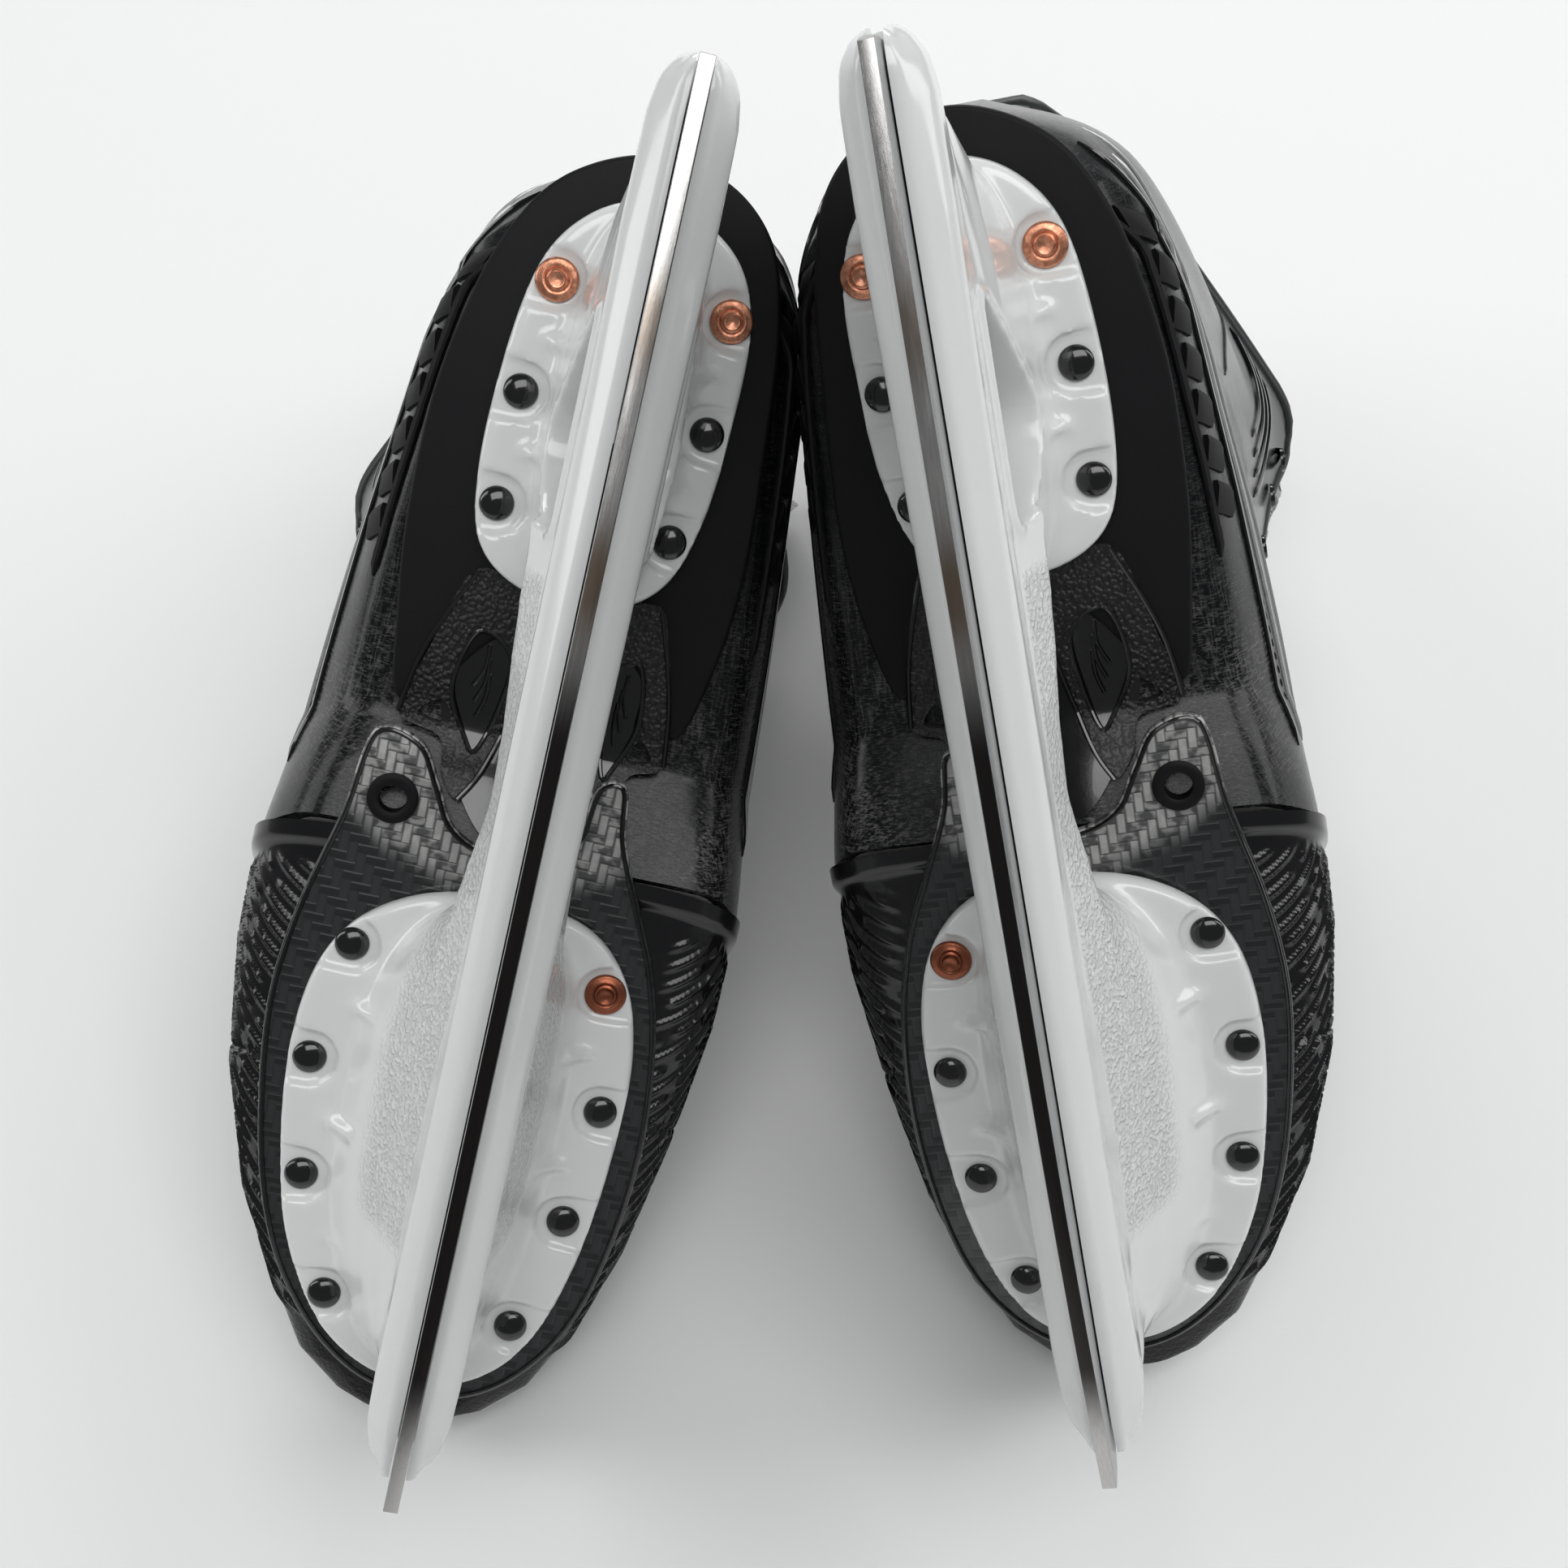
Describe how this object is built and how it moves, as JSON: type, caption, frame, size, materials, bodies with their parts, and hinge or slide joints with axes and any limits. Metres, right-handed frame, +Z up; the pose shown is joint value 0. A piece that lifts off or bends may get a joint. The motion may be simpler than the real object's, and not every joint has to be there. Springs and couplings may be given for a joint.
{
  "type": "pair of ice hockey skates",
  "caption": "Pair of ice hockey skates lying sole up, with white blade holders, removable steel runners, riveted black boots, toe caps, tongues and felt linings.",
  "frame": {"origin": "middle of the pair's footprint, on the floor", "axes": "+Z up from the floor, -Y towards the toes, +X from the left skate to the right skate; the skates lie sole up"},
  "size_m": [0.266, 0.3794, 0.2831],
  "materials": {
    "white_plastic": "glossy moulded white, grained on the bridge flanks",
    "white_satin": "satin moulded white",
    "blade_steel": "satin, ground lengthwise",
    "carbon": "clear-coated twill weave, black and silver",
    "outsole": "smooth and pebbled matte black",
    "composite": "glossy black composite with a faint woven streak",
    "felt": "white felt",
    "footbed": "dark woven footbed",
    "cap_black": "glossy black with moulded ridges",
    "guard_black": "dark, slightly green, matte",
    "lace_white": "waxed black lace",
    "ring_black": "matte black",
    "copper": "bare copper",
    "rivet_black": "glossy black coated dome"
  },
  "bodies": {
    "left_skate": {"left_copper_fore_inner": "copper", "left_copper_heel_inner": "copper", "left_copper_heel_outer": "copper", "left_forefoot_plate": "carbon", "left_grommet": "ring_black", "left_heel_plate": "outsole", "left_holder": "white_plastic", "left_insole": "footbed", "left_lace": "lace_white", "left_liner": "felt", "left_rivet_fore_inner_1": "rivet_black", "left_rivet_fore_inner_2": "rivet_black", "left_rivet_fore_inner_3": "rivet_black", "left_rivet_fore_outer_1": "rivet_black", "left_rivet_fore_outer_2": "rivet_black", "left_rivet_fore_outer_3": "rivet_black", "left_rivet_fore_outer_4": "rivet_black", "left_rivet_heel_inner_1": "rivet_black", "left_rivet_heel_inner_2": "rivet_black", "left_rivet_heel_outer_1": "rivet_black", "left_rivet_heel_outer_2": "rivet_black", "left_shank": "outsole", "left_shell": "composite", "left_toe_cap": "cap_black", "left_trigger_pin": "blade_steel", "left_trigger_spring": "blade_steel"},
    "left_runner_body": {"left_runner": "blade_steel"},
    "left_trigger_body": {"left_trigger": "white_satin"},
    "left_tongue_body": {"left_tongue": "felt"},
    "left_tendon_guard_body": {"left_tendon_guard": "guard_black"},
    "right_skate": {"right_copper_fore_inner": "copper", "right_copper_heel_inner": "copper", "right_copper_heel_outer": "copper", "right_forefoot_plate": "carbon", "right_grommet": "ring_black", "right_heel_plate": "outsole", "right_holder": "white_plastic", "right_insole": "footbed", "right_lace": "lace_white", "right_liner": "felt", "right_rivet_fore_inner_1": "rivet_black", "right_rivet_fore_inner_2": "rivet_black", "right_rivet_fore_inner_3": "rivet_black", "right_rivet_fore_outer_1": "rivet_black", "right_rivet_fore_outer_2": "rivet_black", "right_rivet_fore_outer_3": "rivet_black", "right_rivet_fore_outer_4": "rivet_black", "right_rivet_heel_inner_1": "rivet_black", "right_rivet_heel_inner_2": "rivet_black", "right_rivet_heel_outer_1": "rivet_black", "right_rivet_heel_outer_2": "rivet_black", "right_shank": "outsole", "right_shell": "composite", "right_toe_cap": "cap_black", "right_trigger_pin": "blade_steel", "right_trigger_spring": "blade_steel"},
    "right_runner_body": {"right_runner": "blade_steel"},
    "right_trigger_body": {"right_trigger": "white_satin"},
    "right_tongue_body": {"right_tongue": "felt"},
    "right_tendon_guard_body": {"right_tendon_guard": "guard_black"}
  },
  "joints": [
    {"name": "left_runner_release", "type": "hinge", "parent": "left_skate", "child": "left_runner_body", "pos_m": [-0.08132, -0.15661, 0.06935], "axis": [0.9693, -0.1042, -0.2227], "range_deg": [0, 8]},
    {"name": "left_trigger_pull", "type": "hinge", "parent": "left_skate", "child": "left_trigger_body", "pos_m": [-0.04037, -0.0093, 0.17866], "axis": [0.9693, -0.1042, -0.2227], "range_deg": [0, 24]},
    {"name": "left_tongue_flex", "type": "hinge", "parent": "left_skate", "child": "left_tongue_body", "pos_m": [-0.07093, 0.008, 0.03758], "axis": [-0.9693, 0.1042, 0.2227], "range_deg": [0, 25]},
    {"name": "left_tendon_guard_flex", "type": "hinge", "parent": "left_skate", "child": "left_tendon_guard_body", "pos_m": [-0.04073, 0.1442, 0.10529], "axis": [0.9693, -0.1042, -0.2227], "range_deg": [0, 20]},
    {"name": "right_runner_release", "type": "hinge", "parent": "right_skate", "child": "right_runner_body", "pos_m": [0.06024, -0.14948, 0.06517], "axis": [0.97, -0.0133, 0.2426], "range_deg": [0, 8]},
    {"name": "right_trigger_pull", "type": "hinge", "parent": "right_skate", "child": "right_trigger_body", "pos_m": [0.03049, -0.01364, 0.19161], "axis": [0.97, -0.0133, 0.2426], "range_deg": [0, 24]},
    {"name": "right_tongue_flex", "type": "hinge", "parent": "right_skate", "child": "right_tongue_body", "pos_m": [0.06532, 0.01804, 0.05406], "axis": [-0.97, 0.0133, -0.2426], "range_deg": [0, 10]},
    {"name": "right_tendon_guard_flex", "type": "hinge", "parent": "right_skate", "child": "right_tendon_guard_body", "pos_m": [0.04611, 0.14705, 0.13793], "axis": [0.97, -0.0133, 0.2426], "range_deg": [0, 20]},
    {"name": "right_skate_lift", "type": "slide", "parent": "left_skate", "child": "right_skate", "axis": [0, 0, 1], "range_m": [0, 0.25]}
  ],
  "couplings": [
    {"joint": "left_trigger_pull", "follows": "left_runner_release", "ratio": 3},
    {"joint": "right_trigger_pull", "follows": "right_runner_release", "ratio": 3}
  ]
}
